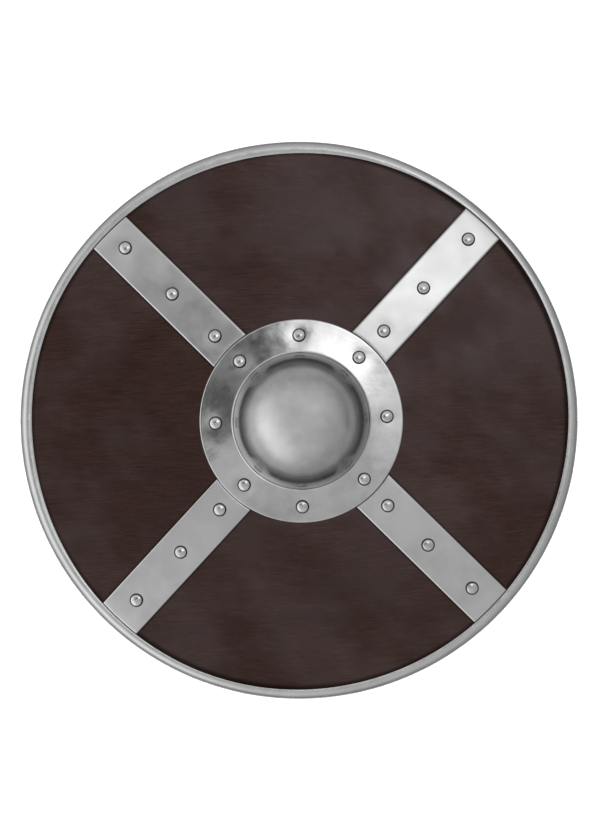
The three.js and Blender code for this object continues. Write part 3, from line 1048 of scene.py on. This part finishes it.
@dataclass
class Boss:
    """The raised steel boss and its flat flange."""

    crown: float
    centre: Pair = (2.4, -0.8)
    lift: float = 1.507
    sheet: float = 1.5
    dome_radius: float = 74.0
    dome_height: float = 63.0
    fullness: float = 2.2
    fillet: float = 2.8
    flange_radius: float = 111.0
    flange_drop: float = 2.612
    flange_sag: float = 0.18
    dome_steps: int = 60
    flange_steps: int = 30
    steps: int = 288
    dimple_depth: float = 0.35
    dimple_radius: float = 9.0
    wave_depth: float = 0.12

    def face(self, inset: float) -> list[Pair]:
        """Draws one face of the sheet, from the crown out to the flange's edge.

        Args:
            inset: How far it lies inside the outer face.

        Returns:
            The points, each a radius and a height above the dome's foot.
        """
        points = []
        power = 2.0 / self.fullness
        for step in range(self.dome_steps + 1):
            turn = 0.5 * math.pi * (1.0 - step / self.dome_steps)
            radius = (self.dome_radius - inset) * abs(math.cos(turn)) ** power
            rise = (self.dome_height - self.fillet - inset) * abs(math.sin(turn)) ** power
            points.append((0.0 if step == 0 else radius, self.fillet + rise))
        foot = self.dome_radius + self.fillet
        bend = self.fillet + inset
        for step in range(1, 9):
            turn = math.pi * (1.0 + 0.5 * step / 8.0)
            points.append((foot + bend * math.cos(turn), self.fillet + bend * math.sin(turn)))
        lean = self.flange_drop / (self.flange_radius - foot)
        for step in range(1, self.flange_steps + 1):
            share = step / self.flange_steps
            sag = self.flange_sag * 4.0 * share * (1.0 - share)
            radius = foot + (self.flange_radius - foot) * share
            points.append((radius, -inset - (radius - foot) * lean - sag))
        if inset == 0.0:
            points[-1] = (points[-1][0], points[-1][1] - 0.35)
            points.insert(-1, (points[-1][0] - 0.35, points[-1][1] + 0.3))
        return points

    def build(self, finish: Material, rivets: Sequence[RivetPlace]) -> None:
        """Builds and dresses the boss.

        Args:
            finish: Its steel.
            rivets: Its rivets, round which the flange is drawn down a little.
        """
        outer, inner = self.face(0.0), self.face(self.sheet)
        profile = np.array(outer + inner[::-1])
        points, lay = set_round([profile] * self.steps, self.dome_radius)
        points += np.array((*self.centre, self.crown + self.lift))
        seats = np.array([place.seat for place in rivets])
        column = np.arange(len(points)) % len(profile)
        for index in np.nonzero(column < len(outer))[0]:
            spot = points[index]
            near = np.min(np.linalg.norm(seats[:, :2] - spot[:2], axis=1))
            dimple = self.dimple_depth * math.exp(-((near / self.dimple_radius) ** 2))
            wave = ripple(spot, 34.0, 1.3) + 0.4 * ripple(spot, 12.0, 5.1) - 0.5
            points[index, 2] += self.wave_depth * wave - dimple
        faces = grid_faces(self.steps, len(profile))
        piece = make_object("shield_boss", points, faces, lay, crease=50.0)
        merge_doubles(piece)
        dress(piece, finish, ["boss"])


@dataclass
class Strap:
    """One steel strap from the boss's flange out to the rim."""

    node: str
    bearing: float
    dish: Dish
    rim: Rim
    boss: Boss
    width: float = 49.6
    sheet: float = 1.5
    inner_gap: float = 0.7
    outer_gap: float = 0.2
    fit_gap: float = 0.3
    rows: int = 150
    columns: int = 34
    dimple_depth: float = 0.3
    dimple_radius: float = 9.5
    end_taper: float = 0.1
    side_bevel: tuple[Pair, ...] = ((0.0, 0.8), (0.12, 0.5), (0.35, 0.32), (1.25, 0.06), (1.6, 0.01))
    flat_inset: float = 2.0
    end_bevel: tuple[Pair, ...] = ((0.0, 0.7), (0.0008, 0.4), (0.0025, 0.16), (0.005, 0.05))
    flat_share: float = 0.009

    def plan(self, reach: float, offset: float) -> np.ndarray:
        """Returns the plan point at a reach from the boss's centre and an offset off the strap's middle."""
        angle = math.radians(self.bearing)
        along = np.array((math.cos(angle), math.sin(angle)))
        across = np.array((-math.sin(angle), math.cos(angle)))
        return np.array(self.boss.centre) + along * reach + across * offset

    def ends(self, offset: float) -> Pair:
        """Gives the reaches of the strap's two ends at an offset.

        Args:
            offset: The offset off its middle.

        Returns:
            The inner and outer reach.
        """
        inner = math.sqrt((self.boss.flange_radius + self.inner_gap) ** 2 - offset**2)
        far = self.plan(self.rim.lip_radius, offset)
        limit = self.rim.lip(math.atan2(far[1], far[0])) - self.outer_gap
        start = self.plan(0.0, offset)
        ahead = float(start @ (self.plan(1.0, offset) - start))
        return inner, math.sqrt(ahead**2 - float(start @ start) + limit**2) - ahead

    def cross_places(self) -> list[Pair]:
        """Lists the places over the strap's top from side to side, each an offset and a fall at the edges."""
        half = self.width / 2.0
        sides = [(half - inset, fall) for inset, fall in self.side_bevel]
        middle = np.linspace(half - self.flat_inset, self.flat_inset - half, self.columns)
        flat = [(float(offset), 0.0) for offset in middle]
        return sides + flat + [(-offset, fall) for offset, fall in sides[::-1]]

    def row_places(self) -> list[Pair]:
        """Lists the places along the strap from 0 to 1, each with its fall near an end."""
        middle = np.linspace(self.flat_share, 1.0 - self.flat_share, self.rows)
        flat = [(float(share), 0.0) for share in middle]
        return [*self.end_bevel, *flat, *((1.0 - share, fall) for share, fall in self.end_bevel[::-1])]

    def build(self, finish: Material, rivets: Sequence[RivetPlace]) -> None:
        """Builds and dresses the strap.

        Args:
            finish: Its steel.
            rivets: Its rivets, round which it is drawn down a little.
        """
        seats = np.array([place.seat for place in rivets])
        points, lay = [], []
        for share, end_fall in self.row_places():
            upper, lower = [], []
            for offset, side_fall in self.cross_places():
                inner, outer = self.ends(offset)
                reach = inner + (outer - inner) * share
                x, y = self.plan(reach, offset)
                top = self.dish.point(x, y, self.fit_gap + self.sheet)
                near = np.min(np.linalg.norm(seats - top, axis=1))
                dimple = self.dimple_depth * math.exp(-((near / self.dimple_radius) ** 2))
                wave = 0.09 * ripple(top, 30.0, self.bearing) + 0.03 * ripple(top, 11.0, 2.0) - 0.09
                taper = self.end_taper * max(1.0 - (1.0 - share) / 0.05, 0.0) ** 2
                fall = max(end_fall, side_fall) + taper
                upper.append(self.dish.point(x, y, self.fit_gap + self.sheet - fall - dimple + wave))
                lower.append(self.dish.point(x, y, self.fit_gap * 0.5))
                lay.append((reach, offset, 0.0))
            points += upper + lower[::-1]
            lay += lay[-len(upper):][::-1]
        count = 2 * len(self.cross_places())
        rows = len(points) // count
        turned = np.array(lay)[:, [0, 2, 1]]
        piece = make_object("shield_" + self.node, np.array(points), loft_faces(rows, count), turned, 60.0)
        merge_doubles(piece)
        dress(piece, finish, [self.node])


@dataclass
class HandGrip:
    """The wooden grip across the hand hole at the back."""

    dish: Dish
    board_thickness: float = 9.0
    fit_gap: float = 0.3
    overhang: float = 21.0
    end_width: float = 36.0
    waist_width: float = 29.0
    end_thickness: float = 9.0
    waist_thickness: float = 16.0
    hold_share: float = 2.0 / 3.0
    steps: int = 72

    def outline(self) -> list[Pair]:
        """Lists the section's points from one side, over the back and round to the other, as shares."""
        arc = []
        for turn in np.linspace(0.0, math.pi, 17):
            side = math.copysign(abs(math.cos(turn)) ** 0.62, math.cos(turn))
            arc.append((0.5 * side, 0.28 + 0.72 * math.sin(turn) ** 0.75))
        return [(0.485, 0.0), (0.5, 0.05)] + arc + [(-0.5, 0.05), (-0.485, 0.0)]

    def build(self, finish: Material, rivets: Sequence[RivetPlace]) -> None:
        """Builds and dresses the grip.

        Args:
            finish: Its wood.
            rivets: The two rivets that hold its ends.
        """
        start, end = (place.seat[:2] for place in rivets)
        length = float(np.linalg.norm(end - start))
        along = (end - start) / length
        across = np.array((-along[1], along[0]))
        back = -self.board_thickness - self.fit_gap
        points = []
        for travel in np.linspace(-1.0, 1.0, self.steps + 1):
            waist = math.cos(0.5 * math.pi * min(abs(travel) / self.hold_share, 1.0)) ** 2
            width = self.end_width + (self.waist_width - self.end_width) * waist
            thickness = self.end_thickness + (self.waist_thickness - self.end_thickness) * waist
            round_end = math.sqrt(max(1.0 - max(abs(travel) - 0.97, 0.0) / 0.03 * 0.35, 0.0))
            spot = (start + end) / 2.0 + along * travel * (length / 2.0 + self.overhang)
            for offset, depth in self.outline():
                x, y = spot + across * offset * width * round_end
                points.append(self.dish.point(x, y, back - thickness * depth * round_end))
        count = len(self.outline())
        faces = loft_faces(self.steps + 1, count)
        piece = make_object("shield_hand_grip", np.array(points), faces, crease=50.0)
        merge_doubles(piece)
        dress(piece, finish, ["hand_grip"])


# The studio


@dataclass(frozen=True)
class SoftPanel:
    """A soft bright or dark patch of the studio, seen in polished steel.

    Bearing runs anticlockwise from the shield's right, and tilt down from overhead, in degrees.
    """

    bearing: float
    tilt: float
    half_long: float
    half_short: float
    brightness: float
    softness: float = 0.3


@dataclass
class Studio:
    """Floor, light and camera."""

    sky: tuple[Pair, ...] = (
        (-1.0, 0.62), (-0.4, 0.62), (-0.26, 0.42), (-0.19, 0.16), (-0.11, 0.2), (0.0, 0.4), (0.05, 0.52),
        (0.17, 0.55), (0.42, 0.58), (0.64, 0.66), (0.87, 0.72), (1.0, 0.73))
    panels: tuple[SoftPanel, ...] = (
        SoftPanel(70.0, 8.6, 4.0, 3.7, 1.3, 0.16),
        SoftPanel(47.0, 14.4, 6.2, 5.0, 1.45, 0.3),
        SoftPanel(14.0, 8.8, 5.4, 4.0, 0.55, 0.45),
        SoftPanel(84.0, 17.0, 22.0, 9.0, 0.3, 0.5),
        SoftPanel(178.0, 10.8, 3.3, 5.4, -0.52, 0.08),
        SoftPanel(143.0, 11.6, 4.6, 5.6, -0.36, 0.4),
        SoftPanel(113.0, 10.6, 3.0, 5.8, -0.66, 0.12),
        SoftPanel(213.0, 9.5, 2.8, 4.5, 0.3, 0.3),
        SoftPanel(0.0, 0.0, 3.0, 3.0, -0.2, 0.3),
        SoftPanel(202.0, 43.0, 37.0, 21.0, 0.74, 0.45),
        SoftPanel(193.0, 66.0, 54.0, 32.0, 0.36, 0.5),
        SoftPanel(262.0, 40.0, 26.0, 26.0, 0.22, 0.5),
        SoftPanel(80.0, 34.0, 36.0, 24.0, 0.22, 0.5),
        SoftPanel(95.0, 78.0, 35.0, 12.0, 0.16, 0.45),
        SoftPanel(2.0, 69.5, 15.0, 2.6, -0.42, 0.4),
        SoftPanel(52.0, 70.0, 28.0, 2.2, -0.26, 0.4),
        SoftPanel(144.0, 70.0, 14.0, 2.2, -0.2, 0.4),
    )
    panel_squareness: float = 2.6
    fill_energy: float = 190.0
    fill_size: float = 3.2
    fill_height: float = 3.6
    lens: float = 300.0
    distance: float = 7.66
    camera_side: float = 0.00096
    camera_up: float = 0.0002
    floor_size: float = 12.0
    floor_tone: float = 0.93
    floor_gap: float = 0.2

    def light_room(self) -> None:
        """Builds the room that the steel mirrors."""
        world = bpy.data.worlds.new("studio")
        world.use_nodes = True
        bpy.context.scene.world = world
        wiring = Wiring(world.node_tree)
        background = world.node_tree.nodes["Background"]
        way = wiring.add("ShaderNodeTexCoord").outputs["Generated"]
        height = wiring.add("ShaderNodeSeparateXYZ", in0=way).outputs[2]
        half_up = wiring.math("MULTIPLY_ADD", height, 0.5, 0.5)
        total = wiring.ramp(half_up, [(0.5 + 0.5 * rise, (glow, glow, glow)) for rise, glow in self.sky])
        for panel in self.panels:
            total = wiring.math("ADD", total, self.panel_light(wiring, way, panel))
        wiring.feed(background.inputs["Color"], wiring.math("MAXIMUM", total, 0.0))

    def panel_light(self, wiring: Wiring, way: Socket, panel: SoftPanel) -> Socket:
        """Works out how bright one panel is in each direction.

        Args:
            wiring: The world tree's wiring.
            way: The direction.
            panel: The panel.

        Returns:
            Its brightness there.
        """
        bearing, tilt = math.radians(panel.bearing), math.radians(panel.tilt)
        flat = Vector((math.cos(bearing), math.sin(bearing), 0.0))
        middle = flat * math.sin(tilt) + Vector((0.0, 0.0, math.cos(tilt)))
        side = Vector((-flat.y, flat.x, 0.0))
        across = side / math.sin(math.radians(panel.half_long))
        down = middle.cross(side) / math.sin(math.radians(panel.half_short))
        off_side, off_down, ahead = (
            wiring.add("ShaderNodeVectorMath", {"operation": "DOT_PRODUCT"}, in0=way,
                       in1=tuple(axis)).outputs["Value"] for axis in (across, down, middle))
        edge = wiring.math("ADD", *(wiring.math("POWER", wiring.math("ABSOLUTE", off), self.panel_squareness)
                                    for off in (off_side, off_down)))
        facing = wiring.math("GREATER_THAN", ahead, 0.0)
        inside = wiring.add("ShaderNodeMapRange", {"interpolation_type": "SMOOTHSTEP"}, in0=edge,
                            in1=1.0 - panel.softness * 2.0, in2=1.0 + panel.softness * 2.0,
                            in3=panel.brightness, in4=0.0).outputs[0]
        return wiring.math("MULTIPLY", inside, facing)

    def light_floor(self) -> None:
        """Hangs the wide soft lamp that lights wood and floor but isn't mirrored."""
        lamp = bpy.data.lights.new("fill", "AREA")
        lamp.shape = "DISK"
        lamp.size = self.fill_size
        lamp.energy = self.fill_energy
        holder = bpy.data.objects.new("fill", lamp)
        holder.location = (0.3, 0.3, self.fill_height)
        holder.rotation_euler = (math.radians(-5.0), math.radians(5.0), 0.0)
        holder.visible_glossy = False
        holder.visible_camera = False
        bpy.context.scene.collection.objects.link(holder)

    def lay_floor(self) -> None:
        """Lays the plain pale floor."""
        half = self.floor_size / 2.0 / MM
        signs = ((-1, -1), (1, -1), (1, 1), (-1, 1))
        corners = np.array([(x * half, y * half, -self.floor_gap) for x, y in signs])
        floor = make_object("floor", corners, [(0, 1, 2, 3)])
        material, _, shader = new_material("floor")
        shader.inputs["Base Color"].default_value = (*(self.floor_tone,) * 3, 1.0)
        shader.inputs["Roughness"].default_value = 1.0
        shader.inputs["Specular IOR Level"].default_value = 0.0
        floor.data.materials.append(material)
        floor.visible_glossy = False

    def place_camera(self, rim_height: float) -> None:
        """Hangs the camera straight over the shield.

        Args:
            rim_height: The height of the rim in metres, at which the framing is set.
        """
        lens = bpy.data.cameras.new("camera")
        lens.lens = self.lens
        lens.clip_end = 60.0
        camera = bpy.data.objects.new("camera", lens)
        camera.location = (self.camera_side, self.camera_up, rim_height + self.distance)
        bpy.context.scene.collection.objects.link(camera)
        bpy.context.scene.camera = camera

    def build(self, rim_height: float) -> None:
        """Sets up the floor, lights, camera and plain tones.

        Args:
            rim_height: The height of the rim in metres.
        """
        self.light_room()
        self.light_floor()
        self.lay_floor()
        self.place_camera(rim_height)
        bpy.context.scene.view_settings.view_transform = "Standard"


@dataclass
class Shield:
    """The whole shield."""

    crown: float = 31.3306
    radius: float = 305.0
    dish_depth: float = 22.0
    straps: tuple[str, ...] = ("strap_upper_right", "strap_upper_left",
                               "strap_lower_left", "strap_lower_right")
    boss_rivets: tuple[str, ...] = tuple(f"boss_rivet_{number}" for number in range(1, 9))
    grip_rivets: tuple[str, str] = ("boss_rivet_7", "boss_rivet_3")

    def build(self) -> float:
        """Builds every piece.

        Returns:
            The height of the rim in metres.
        """
        dish = Dish(self.radius, self.dish_depth, self.crown)
        edge = Edge(dish)
        maker = RivetMaker()
        steel = RIVET_STEEL.build()
        Board(edge).build(BOARD_WOOD.build())
        rim = Rim(edge)
        rim.build(RIM_STEEL.build())
        boss = Boss(self.crown)
        boss.build(BOSS_STEEL.build(), [maker.read(node) for node in self.boss_rivets])
        maker.build("shield_boss_rivets", self.boss_rivets, steel)
        strap_steel = STRAP_STEEL.build()
        names = []
        for node, bearing in zip(self.straps, STRAP_BEARINGS):
            rivets = [f"{node}_rivet_{number}" for number in (1, 2, 3)]
            Strap(node, bearing, dish, rim, boss).build(strap_steel, [maker.read(rivet) for rivet in rivets])
            names += rivets
        maker.build("shield_strap_rivets", names, steel)
        HandGrip(dish).build(GRIP_WOOD.build(), [maker.read(node) for node in self.grip_rivets])
        return edge.height * MM


def main() -> None:
    """Builds the shield and its studio."""
    logging.basicConfig(level=logging.INFO, format="%(message)s")
    rim_height = Shield().build()
    Studio().build(rim_height)


if __name__ == "__main__":
    main()
